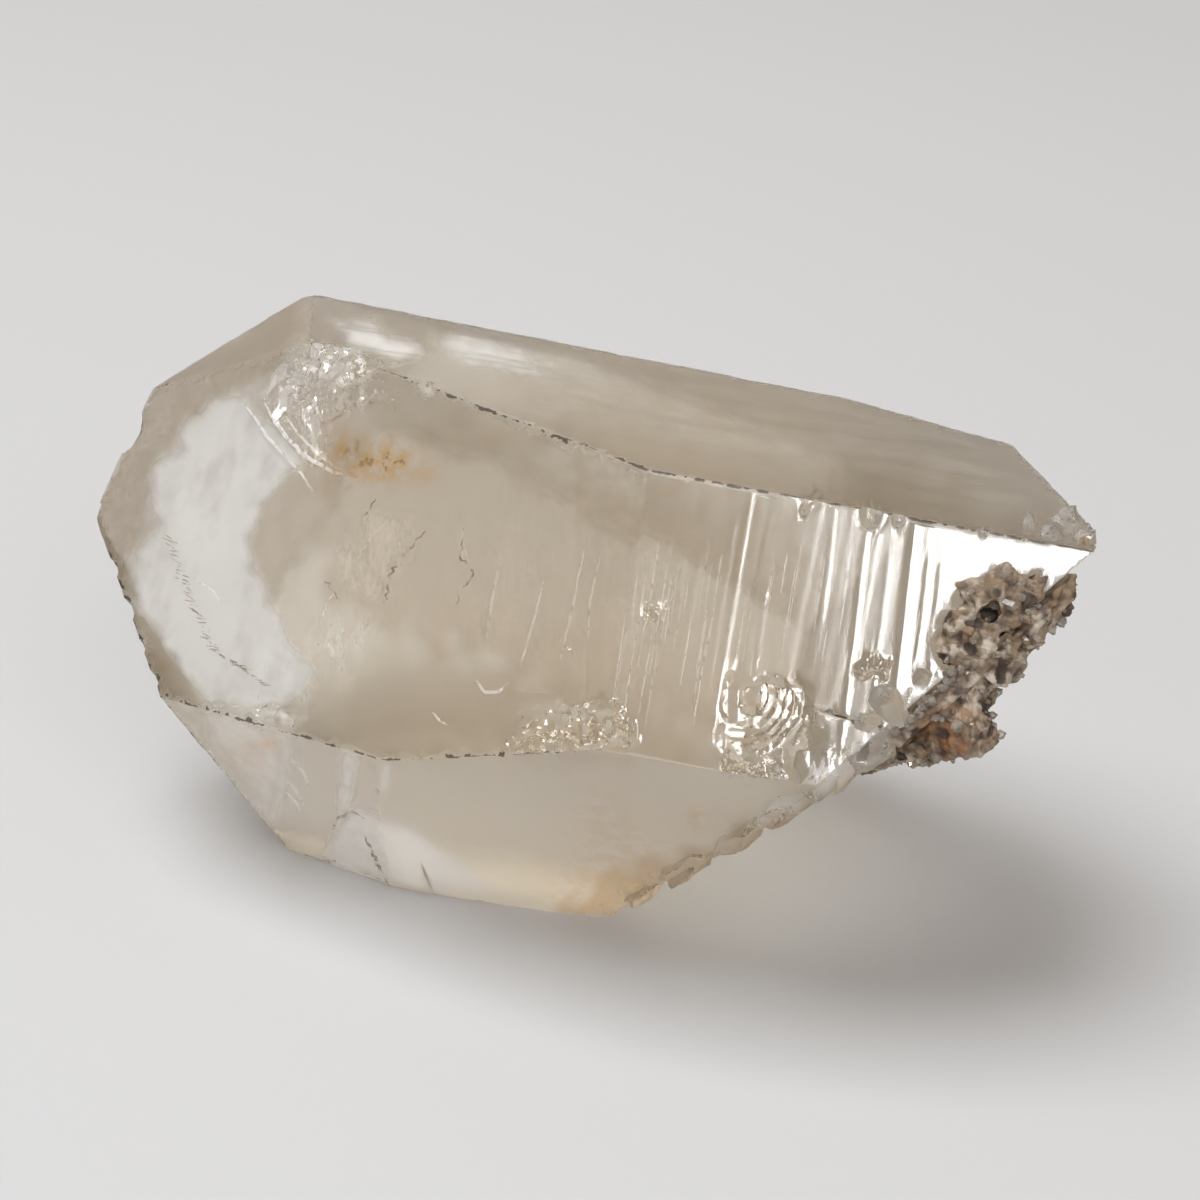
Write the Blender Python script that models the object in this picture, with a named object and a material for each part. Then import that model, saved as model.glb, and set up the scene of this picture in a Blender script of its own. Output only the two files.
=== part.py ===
"""Phantom quartz crystal lying on one side, with stained matrix left on its broken root.

The crystal's long c axis lies almost along X: the tip points to -X and the root to +X.
A natural face is given by its turn about the c axis, its lean toward the tip and its reach,
the distance from the crystal's centre. Lengths are millimetres until the last section,
which scales the finished meshes to metres and puts them on the shared origin.
"""
import math
import random

import bpy
import bmesh
from mathutils import Matrix, Vector, noise

random.seed(23)

AXIS_TURN = math.radians(13.0)
AXIS_DIP = math.radians(5.0)
AXIS_ROLL = math.radians(-5.0)
CENTRE = Vector((0.0, 0.0, 18.0))
STOCK = 120.0
GAP = 0.3
MATRIX_THICKNESS = 1.5
LIP_HEIGHT = 0.8
LIP_ANGLE = 6.4
METRES = 0.001

# Natural faces and broken ones of the crystal: name, turn, lean (degrees) and reach (mm).
FACES = {
    "upper prism": (0.0, 0.0, 15.7),
    "front prism": (60.0, 0.0, 18.6),
    "lower prism": (120.0, -1.2, 18.3),
    "far lower prism": (240.0, 0.0, 12.9),
    "far upper prism": (300.0, -2.4, 13.7),
    "far shoulder": (284.0, -14.8, 13.0),
    "front rhombohedron": (60.5, 20.3, 15.9),
    "lower tip": (117.0, 14.0, 20.5),
    "top of tip": (9.0, 28.0, 24.1),
    "far tip": (262.0, 42.7, 21.9),
    "under tip": (160.5, 52.0, 28.7),
    "root break": (164.5, -50.5, 17.1),
    "far root break": (235.0, -59.2, 18.9),
}

for item in list(bpy.data.objects):
    bpy.data.objects.remove(item, do_unlink=True)

ROOTWARD = Vector((
    math.cos(AXIS_DIP) * math.cos(AXIS_TURN),
    -math.cos(AXIS_DIP) * math.sin(AXIS_TURN),
    -math.sin(AXIS_DIP),
))
UPWARD = (Vector((0, 0, 1)) - ROOTWARD * ROOTWARD.z).normalized()
FORWARD = ROOTWARD.cross(UPWARD)


def face_plane(name, extra=0.0):
    """Return the outward normal of a named face and a point on it, moved out by extra."""
    if name == "resting face":
        return Vector((0, 0, -1)), Vector((0, 0, -extra))
    turn, lean, reach = FACES[name]
    turn = math.radians(turn) + AXIS_ROLL
    lean = math.radians(lean)
    radial = UPWARD * math.cos(turn) + FORWARD * math.sin(turn)
    normal = radial * math.cos(lean) - ROOTWARD * math.sin(lean)
    return normal, CENTRE + normal * (reach + extra)


def cut_away(mesh, normal, point):
    """Cut off what lies outside a plane and close the cut with one flat face."""
    geometry = mesh.verts[:] + mesh.edges[:] + mesh.faces[:]
    cut = bmesh.ops.bisect_plane(mesh, geom=geometry, dist=1e-5, plane_co=point,
                                 plane_no=normal, clear_outer=True)
    edges = [part for part in cut["geom_cut"] if isinstance(part, bmesh.types.BMEdge)]
    if edges:
        bmesh.ops.contextual_create(mesh, geom=edges)


def faceted(moved=None, extra=0.0, bounds=()):
    """Return the solid inside all faces, some moved out, cut by more (normal, point) pairs.

    Where some faces are moved, the others go in a hair, so that no two faces coincide.
    """
    if moved:
        extra -= 0.04
    moved = moved or {}
    mesh = bmesh.new()
    bmesh.ops.create_cube(mesh, size=STOCK)
    for name in ["resting face"] + list(FACES):
        normal, point = face_plane(name, extra + moved.get(name, 0.0))
        cut_away(mesh, normal, point)
    for normal, point in bounds:
        cut_away(mesh, Vector(normal).normalized(), Vector(point))
    return mesh


def meeting(first, second, third):
    """Return the corner where three named faces meet."""
    planes = [face_plane(name) for name in (first, second, third)]
    rows = Matrix([normal for normal, point in planes])
    return rows.inverted() @ Vector([normal.dot(point) for normal, point in planes])


def spot(name, x, y=None, z=None, out=0.0):
    """Return the point on a named face at the given X and either Y or Z, moved out."""
    normal, point = face_plane(name)
    height = normal.dot(point)
    if z is None:
        z = (height - normal.x * x - normal.y * y) / normal.z
    else:
        y = (height - normal.x * x - normal.z * z) / normal.y
    return Vector((x, y, z)) + normal * out


def as_object(mesh, name):
    """Turn a bmesh into a linked object with its faces out."""
    mesh.normal_update()
    bmesh.ops.recalc_face_normals(mesh, faces=mesh.faces)
    data = bpy.data.meshes.new(name)
    mesh.to_mesh(data)
    mesh.free()
    made = bpy.data.objects.new(name, data)
    bpy.context.scene.collection.objects.link(made)
    return made


def combine(target, mesh, operation):
    """Fuse a bmesh to an object or cut it out, then take the helper object away."""
    tool = as_object(mesh, "tool")
    tool.hide_render = True
    tool.display_type = "WIRE"
    step = target.modifiers.new(operation.lower(), "BOOLEAN")
    step.operation = operation
    step.solver = "EXACT"
    step.object = tool
    bpy.context.view_layer.update()
    finished = target.evaluated_get(bpy.context.evaluated_depsgraph_get())
    data = bpy.data.meshes.new_from_object(finished)
    target.modifiers.clear()
    target.data = data
    bpy.data.objects.remove(tool, do_unlink=True)


def pebble(place, half, along=(1, 0, 0), up=(0, 0, 1), rough=0.0, detail=3):
    """Return an ellipsoid with half sizes along, across and up, made uneven by rough."""
    up = Vector(up).normalized()
    along = Vector(along)
    along = (along - up * along.dot(up)).normalized()
    across = up.cross(along)
    mesh = bmesh.new()
    bmesh.ops.create_icosphere(mesh, subdivisions=detail, radius=1.0)
    for vert in mesh.verts:
        lump = 1.0 + rough * noise.noise(vert.co * 1.9 + Vector(place))
        x, y, z = vert.co * lump
        vert.co = Vector(place) + along * x * half[0] + across * y * half[1] + up * z * half[2]
    return mesh


def scoop(target, name, place, half, depth, along=(0, 0, 1), rough=0.1):
    """Cut a shallow shell-shaped chip into a named face, as wide as half and as deep as depth."""
    normal = face_plane(name)[0] if isinstance(name, str) else Vector(name).normalized()
    steep = 3.0 * depth
    flare = 1.0 / math.sqrt(1.0 - (2.0 / 3.0) ** 2)
    centre = Vector(place) + normal * (steep - depth)
    mesh = pebble(centre, (half[0] * flare, half[1] * flare, steep), along, normal, rough)
    combine(target, mesh, "DIFFERENCE")


def grain(place, point_to, radius, length, spin, flat=1.0):
    """Return a small six-sided quartz crystal, its middle at place and its point outward."""
    up = Vector(point_to).normalized()
    side = up.orthogonal().normalized()
    side.rotate(Matrix.Rotation(spin, 3, up))
    other = up.cross(side)
    mesh = bmesh.new()
    rings = []
    for level, size in ((-0.5, 1.0), (0.5, 1.0), (0.5 + 0.55 * radius / length, 0.45)):
        ring = []
        for corner in range(6):
            angle = math.radians(60 * corner)
            reach = radius * size * (1.0 if corner % 3 else 0.86)
            offset = side * math.cos(angle) * reach + other * math.sin(angle) * reach * flat
            ring.append(mesh.verts.new(Vector(place) + offset + up * level * length))
        rings.append(ring)
    top = mesh.verts.new(Vector(place) + up * (0.5 * length + 1.0 * radius))
    for lower, upper in zip(rings, rings[1:]):
        for corner in range(6):
            following = (corner + 1) % 6
            mesh.faces.new((lower[corner], lower[following], upper[following], upper[corner]))
    for corner in range(6):
        mesh.faces.new((rings[2][corner], rings[2][(corner + 1) % 6], top))
    mesh.faces.new(list(reversed(rings[0])))
    return mesh


# Directions that several features share.
root_normal = face_plane("root break")[0]
front_normal = face_plane("front prism")[0]
lower_normal = face_plane("lower prism")[0]
upper_normal = face_plane("upper prism")[0]
root_top = meeting("upper prism", "front prism", "root break")
root_low = meeting("lower prism", "front prism", "root break")
down_edge = (root_low - root_top).normalized()
into_root = root_normal.cross(down_edge)
if into_root.dot(FORWARD) > 0:
    into_root = -into_root


def on_root(down, across, out=0.0):
    """Return a point on the root break, down its front edge and across the break from there."""
    return root_top + down_edge * down + into_root * across + root_normal * out


# The crystal itself: one clear solid.
crystal = as_object(faceted(), "quartz_crystal")

# A low lip along the foot of the lower prism face: it swells from nothing to its full height.
lower_down = (Vector((0, 0, -1)) + lower_normal * lower_normal.z).normalized()
lip_slope = math.tan(math.radians(LIP_ANGLE))
combine(crystal, faceted({"lower prism": LIP_HEIGHT}, bounds=(
    (lower_normal - lower_down * lip_slope, spot("lower prism", -6.0, z=6.4)),
    (lower_normal + Vector((lip_slope, 0, 0)), spot("lower prism", 3.5, z=1.0)),
    (lower_normal - Vector((lip_slope, 0, 0)), spot("lower prism", -20.0, z=1.0)),
)), "UNION")

# A growth plate on the front prism face, ending in a low step.
combine(crystal, faceted({"front prism": 0.22}, bounds=(
    ((0.2, 0.1, 0.97), (8.0, -22.0, 24.0)),
    ((-0.96, 0.1, 0.25), (11.5, -22.0, 22.0)),
)), "UNION")

# Broken glassy lumps where the root break meets the front edge, and down its lower edge.
low_corner = meeting("lower prism", "root break", "resting face")
low_edge = (low_corner - root_low).normalized()
low_lumps = (
    (on_root(18.2, 1.5, 0.5), (2.1, 1.8, 1.3), down_edge),
    (on_root(20.6, 1.9, 0.4), (1.9, 2.1, 1.2), down_edge),
    (root_low.lerp(low_corner, 0.12) + root_normal * 0.1, (2.3, 1.5, 0.9), low_edge),
    (root_low.lerp(low_corner, 0.34) + root_normal * 0.1, (2.7, 1.4, 0.9), low_edge),
    (root_low.lerp(low_corner, 0.60) - root_normal * 0.1, (2.6, 1.3, 0.8), low_edge),
    (root_low.lerp(low_corner, 0.82) - root_normal * 0.1, (2.0, 1.1, 0.6), low_edge),
)
for place, half, along in low_lumps:
    combine(crystal, pebble(place, half, along, root_normal, 0.6, 2), "UNION")

# Shell-shaped chips, first on the ridge and on the front face, then along the edges.
scoop(crystal, "front prism", spot("front prism", 9.9, z=22.3), (3.0, 2.5), 0.3, rough=0.35)
scoop(crystal, "front prism", spot("front prism", 12.4, z=20.8), (1.8, 1.2), 0.28, rough=0.35)
for x, half, depth in ((16.6, 0.9, 0.5), (12.6, 0.45, 0.3), (18.3, 0.6, 0.35), (23.4, 0.5, 0.3)):
    scoop(crystal, front_normal + upper_normal * 0.5, spot("front prism", x, z=33.0 - 0.02 * x),
          (half, half * 0.8), depth)
scoop(crystal, upper_normal + front_normal, spot("upper prism", -11.4, y=-1.3), (1.0, 0.6), 0.4)
scoop(crystal, (-0.35, -0.35, 0.87), spot("front rhombohedron", -17.6, z=34.4), (3.4, 2.2), 0.5,
      rough=0.4)
scoop(crystal, (-0.45, -0.5, 0.74), spot("front rhombohedron", -21.0, z=32.0), (2.2, 1.7), 0.4,
      rough=0.4)
scoop(crystal, "front rhombohedron", spot("front rhombohedron", -19.2, z=31.2), (2.9, 1.0), 0.25,
      along=(0.35, -0.1, -0.9), rough=0.4)
scoop(crystal, (-0.85, 0.25, 0.3), spot("front rhombohedron", -33.1, z=27.6), (1.7, 1.5), 0.8)
for x, z, half in ((-34.1, 19.8, 0.7), (-32.9, 17.9, 0.9), (-31.8, 16.1, 0.6), (-30.8, 14.6, 0.7)):
    scoop(crystal, (-0.87, -0.3, -0.2), spot("front rhombohedron", x, z=z), (half, half), 0.4)
scoop(crystal, (-0.55, -0.8, 0.1), spot("front rhombohedron", -21.6, z=15.3), (1.6, 0.6), 0.4,
      along=(1, 0, 0))
scoop(crystal, (0.8, 0.2, 0.5), meeting("upper prism", "root break", "far root break"),
      (1.9, 1.7), 1.0)

# Chips along the edges of the side that lies away from the light.
for corner, out, half in (
    (meeting("far lower prism", "far tip", "under tip"), (-0.6, 0.5, -0.6), 1.9),
    (meeting("front rhombohedron", "far tip", "under tip"), (-0.9, 0.0, -0.2), 1.3),
    (meeting("far upper prism", "far shoulder", "far tip"), (0.0, 1.0, 0.3), 1.2),
    (meeting("far upper prism", "upper prism", "far root break"), (0.6, 0.5, 0.6), 1.4),
):
    scoop(crystal, out, corner, (half, half * 0.8), half * 0.4, rough=0.35)

# The eaten-away notch in the front edge beside the root, filled by matrix further on.
notch = (
    (on_root(6.8, 0.6, -1.4), (2.7, 2.1, 1.8)),
    (on_root(9.2, 0.3, -1.0), (2.2, 1.9, 1.5)),
    (on_root(4.4, 0.4, -0.8), (1.3, 1.0, 0.9)),
)
for place, half in notch:
    combine(crystal, pebble(place, half, down_edge, front_normal, 0.35), "DIFFERENCE")

# Small crystals fused to the large one: on the front face and as a knob at the root's top.
small_crystals = (
    (spot("front prism", 17.6, z=23.3, out=0.1), (-0.35, -0.35, 0.87), 0.95, 2.7, 0.4),
    (spot("front prism", 16.4, z=22.4, out=0.0), (-0.7, -0.5, 0.5), 0.6, 1.7, 1.1),
    (spot("front prism", 19.4, z=24.9, out=0.0), (0.2, -0.7, 0.6), 0.55, 1.5, 2.0),
    (spot("upper prism", 28.6, y=-15.2, out=0.0), (0.3, 0.2, 0.93), 0.9, 1.3, 0.3),
    (spot("upper prism", 27.6, y=-16.2, out=-0.1), (0.1, -0.5, 0.86), 0.75, 1.2, 1.7),
    (spot("upper prism", 28.9, y=-13.6, out=-0.1), (0.6, 0.5, 0.6), 0.7, 1.2, 2.6),
    (spot("upper prism", 29.6, y=-16.4, out=-0.2), (0.5, -0.2, 0.8), 0.65, 1.1, 0.9),
    (spot("upper prism", 26.6, y=-15.0, out=-0.1), (-0.2, 0.3, 0.9), 0.5, 0.9, 2.1),
)
for place, point_to, radius, length, spin in small_crystals:
    combine(crystal, grain(place, point_to, radius, length, spin), "UNION")

# Matrix: one crust of stained rock and small crystals grown onto the upper part of the break.
crust = as_object(faceted({"root break": MATRIX_THICKNESS}, bounds=(
    (down_edge + into_root * 0.25, on_root(16.0, 3.0)),
    (root_normal - down_edge * 1.2, on_root(2.2, 3.0, 1.0)),
    (into_root + down_edge * 0.3, on_root(9.0, 12.5)),
    (into_root - down_edge * 0.5, on_root(4.0, 7.5)),
    (-root_normal, on_root(0, 0, -0.6)),
)), "matrix_crust")
for down, across, out, half in (
    (12.9, 1.7, 2.9, (2.4, 2.3, 2.4)),
    (14.8, 3.2, 2.3, (2.0, 2.4, 2.1)),
    (17.6, 2.6, 0.9, (1.9, 1.8, 1.4)),
    (11.4, 2.6, 1.9, (2.2, 2.3, 1.6)),
    (8.6, 1.2, 1.2, (2.2, 1.8, 1.7)),
    (5.6, 1.0, 0.9, (2.0, 1.6, 1.6)),
    (3.2, 1.2, 0.5, (1.5, 1.3, 1.0)),
    (12.4, 6.4, 1.2, (3.2, 3.0, 1.5)),
    (8.4, 5.0, 1.2, (3.0, 2.6, 1.3)),
    (7.6, 8.4, 0.9, (2.8, 2.6, 1.2)),
    (11.2, 10.2, 0.9, (2.6, 2.4, 1.1)),
):
    combine(crust, pebble(on_root(down, across, out), half, down_edge, root_normal, 0.5, 2),
            "UNION")
for down, across, out, half in (
    (6.6, 0.3, -1.4, (2.6, 2.2, 1.1)),
    (9.0, 0.1, -0.9, (2.1, 1.8, 1.2)),
    (4.4, 0.3, -0.6, (1.3, 1.1, 0.8)),
):
    combine(crust, pebble(on_root(down, across, out), half, down_edge, front_normal, 0.6, 2),
            "UNION")
combine(crust, pebble(on_root(7.2, -0.6, -1.3), (0.9, 0.6, 1.3), down_edge, front_normal, 0.5, 2),
        "DIFFERENCE")
for count in range(46):
    down = random.uniform(1.8, 16.2)
    across = random.uniform(-0.3, 3.2) if count < 24 else random.uniform(2.0, 11.0)
    swell = 2.6 * math.exp(-((down - 13.6) / 2.6) ** 2) * math.exp(-(across / 4.5) ** 2)
    place = on_root(down, across, MATRIX_THICKNESS * 0.8 + swell * random.uniform(0.7, 1.0))
    tilt = Vector([random.uniform(-0.7, 0.7) for axis in range(3)])
    size = random.uniform(0.38, 0.85)
    spin = random.uniform(0, math.pi)
    combine(crust, grain(place, root_normal + tilt, size, size * 1.9, spin), "UNION")

# The crust stops a hair short of the crystal and of everything fused to it.
blocker = as_object(faceted(extra=GAP), "blocker")
for place, half in notch:
    smaller = tuple(length - GAP for length in half)
    combine(blocker, pebble(place, smaller, down_edge, front_normal, 0.35), "DIFFERENCE")
for place, half, along in low_lumps[:2]:
    larger = tuple(length + GAP * 1.2 for length in half)
    combine(blocker, pebble(place, larger, along, root_normal, 0.6, 2), "UNION")
for place, point_to, radius, length, spin in small_crystals:
    larger = grain(place, point_to, radius + GAP * 1.2, length + GAP * 2.0, spin)
    combine(blocker, larger, "UNION")
solid = bmesh.new()
solid.from_mesh(blocker.data)
bpy.data.objects.remove(blocker, do_unlink=True)
combine(crust, solid, "DIFFERENCE")


def clean(target):
    """Merge doubled points, drop slivers and crumbs, and turn all faces out."""
    mesh = bmesh.new()
    mesh.from_mesh(target.data)
    bmesh.ops.remove_doubles(mesh, verts=mesh.verts, dist=1e-4)
    bmesh.ops.dissolve_degenerate(mesh, edges=mesh.edges, dist=1e-4)
    unseen = set(mesh.verts)
    pieces = []
    while unseen:
        piece = []
        front = [unseen.pop()]
        while front:
            vert = front.pop()
            piece.append(vert)
            for edge in vert.link_edges:
                other = edge.other_vert(vert)
                if other in unseen:
                    unseen.remove(other)
                    front.append(other)
        pieces.append(piece)
    pieces.sort(key=len)
    for crumb in pieces[:-1]:
        bmesh.ops.delete(mesh, geom=crumb, context="VERTS")
    mesh.normal_update()
    bmesh.ops.recalc_face_normals(mesh, faces=mesh.faces)
    mesh.to_mesh(target.data)
    mesh.free()


def surface(name, colour, roughness, transmission, density_index):
    """Return a plain material for one of the two pieces."""
    made = bpy.data.materials.new(name)
    made.use_nodes = True
    shader = made.node_tree.nodes["Principled BSDF"]
    shader.inputs["Base Color"].default_value = (*colour, 1.0)
    shader.inputs["Roughness"].default_value = roughness
    shader.inputs["Transmission Weight"].default_value = transmission
    shader.inputs["IOR"].default_value = density_index
    return made


clean(crystal)
clean(crust)
crystal.data.materials.clear()
crystal.data.materials.append(surface("clear_quartz", (0.86, 0.84, 0.78), 0.05, 0.9, 1.544))
crust.data.materials.clear()
crust.data.materials.append(surface("stained_matrix", (0.42, 0.30, 0.20), 0.7, 0.0, 1.5))

# Metres, with the origin under the middle of the whole thing at the level it rests on.
corners = [vert.co for piece in (crystal, crust) for vert in piece.data.vertices]
low = [min(corner[axis] for corner in corners) for axis in range(3)]
high = [max(corner[axis] for corner in corners) for axis in range(3)]
middle = Vector(((low[0] + high[0]) / 2, (low[1] + high[1]) / 2, low[2]))
for piece in (crystal, crust):
    piece.data.transform(Matrix.Scale(METRES, 4) @ Matrix.Translation(-middle))
    piece.data.update()
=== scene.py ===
import math
import random

import bmesh
import bpy
from mathutils import Matrix, Vector, noise
from mathutils.bvhtree import BVHTree


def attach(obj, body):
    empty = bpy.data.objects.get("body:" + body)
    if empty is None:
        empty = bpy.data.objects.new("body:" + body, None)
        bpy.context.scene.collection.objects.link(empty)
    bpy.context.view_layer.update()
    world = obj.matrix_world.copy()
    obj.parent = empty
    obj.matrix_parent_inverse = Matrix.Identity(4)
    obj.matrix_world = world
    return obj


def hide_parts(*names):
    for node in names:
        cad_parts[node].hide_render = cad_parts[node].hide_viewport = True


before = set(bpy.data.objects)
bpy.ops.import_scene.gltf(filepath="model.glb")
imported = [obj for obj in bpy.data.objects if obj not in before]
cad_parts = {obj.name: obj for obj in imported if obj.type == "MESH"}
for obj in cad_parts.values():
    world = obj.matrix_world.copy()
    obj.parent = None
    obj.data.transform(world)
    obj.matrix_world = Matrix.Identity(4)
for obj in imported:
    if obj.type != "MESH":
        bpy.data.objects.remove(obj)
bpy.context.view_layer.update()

random.seed(7)


# The big crystal is one piece of clear, faintly smoky quartz. Its faces are the solid's own; here
# they get growth lines across the prism, shell-shaped chips, broken places and a skin of smoke and
# painted shade, rust and dirt. It is a single body, so nothing fixes it: it lies on one long face.
class Shade:
    """One shader socket, with arithmetic that adds the nodes it needs."""

    def __init__(self, tree, socket):
        self.tree = tree
        self.socket = socket

    def make(self, kind, settings=None, sockets=None, output=0):
        """Add a node of any kind to this tree and return one of its outputs."""
        node = self.tree.nodes.new(kind)
        for name, value in (settings or {}).items():
            setattr(node, name, value)
        for name, value in (sockets or {}).items():
            if isinstance(value, Shade):
                self.tree.links.new(value.socket, node.inputs[name])
            else:
                node.inputs[name].default_value = value
        return Shade(self.tree, node.outputs[output])

    def maths(self, operation, first, second=0.0):
        return self.make("ShaderNodeMath", {"operation": operation}, {0: first, 1: second})

    def __add__(self, other):
        return self.maths("ADD", self, other)

    def __radd__(self, other):
        return self.maths("ADD", other, self)

    def __sub__(self, other):
        return self.maths("SUBTRACT", self, other)

    def __rsub__(self, other):
        return self.maths("SUBTRACT", other, self)

    def __mul__(self, other):
        return self.maths("MULTIPLY", self, other)

    def __rmul__(self, other):
        return self.maths("MULTIPLY", other, self)

    def noise(self, scale, detail=3.0, rough=0.5, stretch=(1.0, 1.0, 1.0)):
        """Return a noise factor at this position; a stretch below 1 draws the pattern out."""
        place = self.make("ShaderNodeVectorMath", {"operation": "MULTIPLY"},
                          {0: self, 1: stretch})
        return self.make("ShaderNodeTexNoise", {}, {"Vector": place, "Scale": scale,
                                                    "Detail": detail, "Roughness": rough})

    def turned(self, angles):
        """Return this position in axes that are turned by three angles."""
        return self.make("ShaderNodeVectorRotate", {"rotation_type": "EULER_XYZ"},
                         {"Vector": self, "Rotation": angles})

    def painted(self, name):
        """Return the piece's own painted value of this name."""
        return self.make("ShaderNodeAttribute", {"attribute_name": name}, output=2)

    def between(self, low, high):
        """Return 0 below low and 1 above high, smooth between them."""
        return self.make("ShaderNodeMapRange", {"interpolation_type": "SMOOTHSTEP"},
                         {"Value": self, "From Min": low, "From Max": high})

    def blend(self, first, second):
        """Mix two colours, with this socket as the factor."""
        return self.make("ShaderNodeMix", {"data_type": "RGBA"}, {0: self, 6: first, 7: second},
                         output=2)

    def bump(self, strength, distance):
        """Return a normal that is bent by this height."""
        return self.make("ShaderNodeBump", {}, {"Height": self, "Strength": strength,
                                                "Distance": distance})


def new_material(name):
    """Return an empty material, its tree's position socket and its surface shader."""
    made = bpy.data.materials.new(name)
    made.use_nodes = True
    shader = made.node_tree.nodes["Principled BSDF"]
    place = Shade(made.node_tree, None).make("ShaderNodeTexCoord", output=3)
    return made, place, shader


def plug(shade, shader, name):
    """Lead a shade into a named socket of a shader node."""
    shade.tree.links.new(shade.socket, shader.inputs[name])


def copy_of(node):
    """Return a merged bmesh of a node of the frame, in millimetres."""
    mesh = bmesh.new()
    mesh.from_mesh(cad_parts[node].data)
    bmesh.ops.scale(mesh, vec=(1000, 1000, 1000), verts=mesh.verts)
    bmesh.ops.remove_doubles(mesh, verts=mesh.verts, dist=2e-4)
    bmesh.ops.dissolve_degenerate(mesh, edges=mesh.edges, dist=2e-4)
    mesh.normal_update()
    return mesh


def finished(mesh, name, material, sharp=30.0):
    """Turn a bmesh in millimetres into an object that rides on the frame."""
    bmesh.ops.scale(mesh, vec=(0.001, 0.001, 0.001), verts=mesh.verts)
    mesh.normal_update()
    for face in mesh.faces:
        face.smooth = True
    for edge in mesh.edges:
        edge.smooth = edge.calc_face_angle(0.0) < math.radians(sharp)
    data = bpy.data.meshes.new(name)
    mesh.to_mesh(data)
    mesh.free()
    data.materials.append(material)
    made = bpy.data.objects.new(name, data)
    bpy.context.scene.collection.objects.link(made)
    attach(made, "root")
    return made


# Directions of the crystal's faces, each outward; the long axis runs to the root.
AXIS = Vector((0.9707, -0.2241, -0.0872))
FRONT = Vector((-0.136, -0.809, 0.571))
TOP = Vector((0.104, 0.065, 0.992))
LOWER = Vector((-0.219, -0.879, -0.423))
TIP_FRONT = Vector((-0.466, -0.686, 0.559))
TIP_LOWER = Vector((-0.468, -0.815, -0.341))
side = AXIS.cross(Vector((0, 0, 1))).normalized()
rise = side.cross(AXIS)

# The photograph's view, in millimetres and pixels, by which marks find their places.
VIEW_TARGET = Vector((2.582, 2.936, 18.0))
VIEW_TILT = math.radians(30.0)
VIEW_DISTANCE = 168.0
PHOTO_MIDDLE = 600.0
PHOTO_FOCUS = 2400.0
QUARTZ_IOR = 1.544
ahead = Vector((0.0, math.cos(VIEW_TILT), -math.sin(VIEW_TILT)))
upward = Vector((0.0, math.sin(VIEW_TILT), math.cos(VIEW_TILT)))
eye = VIEW_TARGET - ahead * VIEW_DISTANCE

crystal_mesh = copy_of("quartz_crystal")
bmesh.ops.dissolve_limit(crystal_mesh, angle_limit=math.radians(0.3), verts=crystal_mesh.verts,
                         edges=crystal_mesh.edges)
plain_surface = BVHTree.FromBMesh(crystal_mesh)


def sight(px, py):
    """Return the direction in which the photograph shows a pixel."""
    across = (px - PHOTO_MIDDLE) / PHOTO_FOCUS
    above = (PHOTO_MIDDLE - py) / PHOTO_FOCUS
    return (ahead + Vector((across, 0, 0)) + upward * above).normalized()


def face_seen_at(px, py):
    """Return a point and the outward normal of the flat face seen at a pixel."""
    point, normal = plain_surface.ray_cast(eye, sight(px, py))[:2]
    return point, normal


def under(face, px, py, depth=0.0):
    """Return the place seen at a pixel, this deep beneath a flat face or the surface itself."""
    way = sight(px, py)
    if face is None:
        face = plain_surface.ray_cast(eye, way)[:2]
        if face[0] is None:
            face = low_face
    point, normal = face
    hit = eye + way * ((point - eye).dot(normal) / way.dot(normal))
    ratio = 1.0 / QUARTZ_IOR
    cosine = -way.dot(normal)
    inward = math.sqrt(1 - ratio * ratio * (1 - cosine * cosine))
    bent = way * ratio + normal * (ratio * cosine - inward)
    return hit + bent * (depth / -bent.dot(normal))


def pixel_of(place):
    """Return where the photograph shows a place."""
    offset = place - eye
    far = offset.dot(ahead)
    return (PHOTO_MIDDLE + PHOTO_FOCUS * offset.x / far,
            PHOTO_MIDDLE - PHOTO_FOCUS * offset.dot(upward) / far)


def to_line(points, px, py):
    """Return the distance in pixels to a line through points and how far along it that is."""
    best = (1e9, 0.0)
    for count, (start, end) in enumerate(zip(points, points[1:])):
        run = (end[0] - start[0], end[1] - start[1])
        part = ((px - start[0]) * run[0] + (py - start[1]) * run[1]) / (run[0] ** 2 + run[1] ** 2)
        part = min(1.0, max(0.0, part))
        gap = math.hypot(px - start[0] - run[0] * part, py - start[1] - run[1] * part)
        best = min(best, (gap, (count + part) / (len(points) - 1)))
    return best


def inside_by(outline, px, py):
    """Return how many pixels a place lies inside an outline, negative outside."""
    within = False
    for start, end in zip(outline, outline[1:] + outline[:1]):
        if (start[1] > py) != (end[1] > py):
            crossing = start[0] + (py - start[1]) / (end[1] - start[1]) * (end[0] - start[0])
            if px < crossing:
                within = not within
    gap = to_line(outline + outline[:1], px, py)[0]
    return gap if within else -gap


def close_to(outline, px, py, margin=9.0):
    """Return whether a pixel is near the box around an outline."""
    across = [point[0] for point in outline]
    down = [point[1] for point in outline]
    return (min(across) - margin < px < max(across) + margin
            and min(down) - margin < py < max(down) + margin)


tip_face = face_seen_at(290, 560)
front_face = face_seen_at(700, 600)
top_face = face_seen_at(650, 400)
low_face = face_seen_at(640, 850)
low_tip_face = face_seen_at(250, 745)


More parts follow.
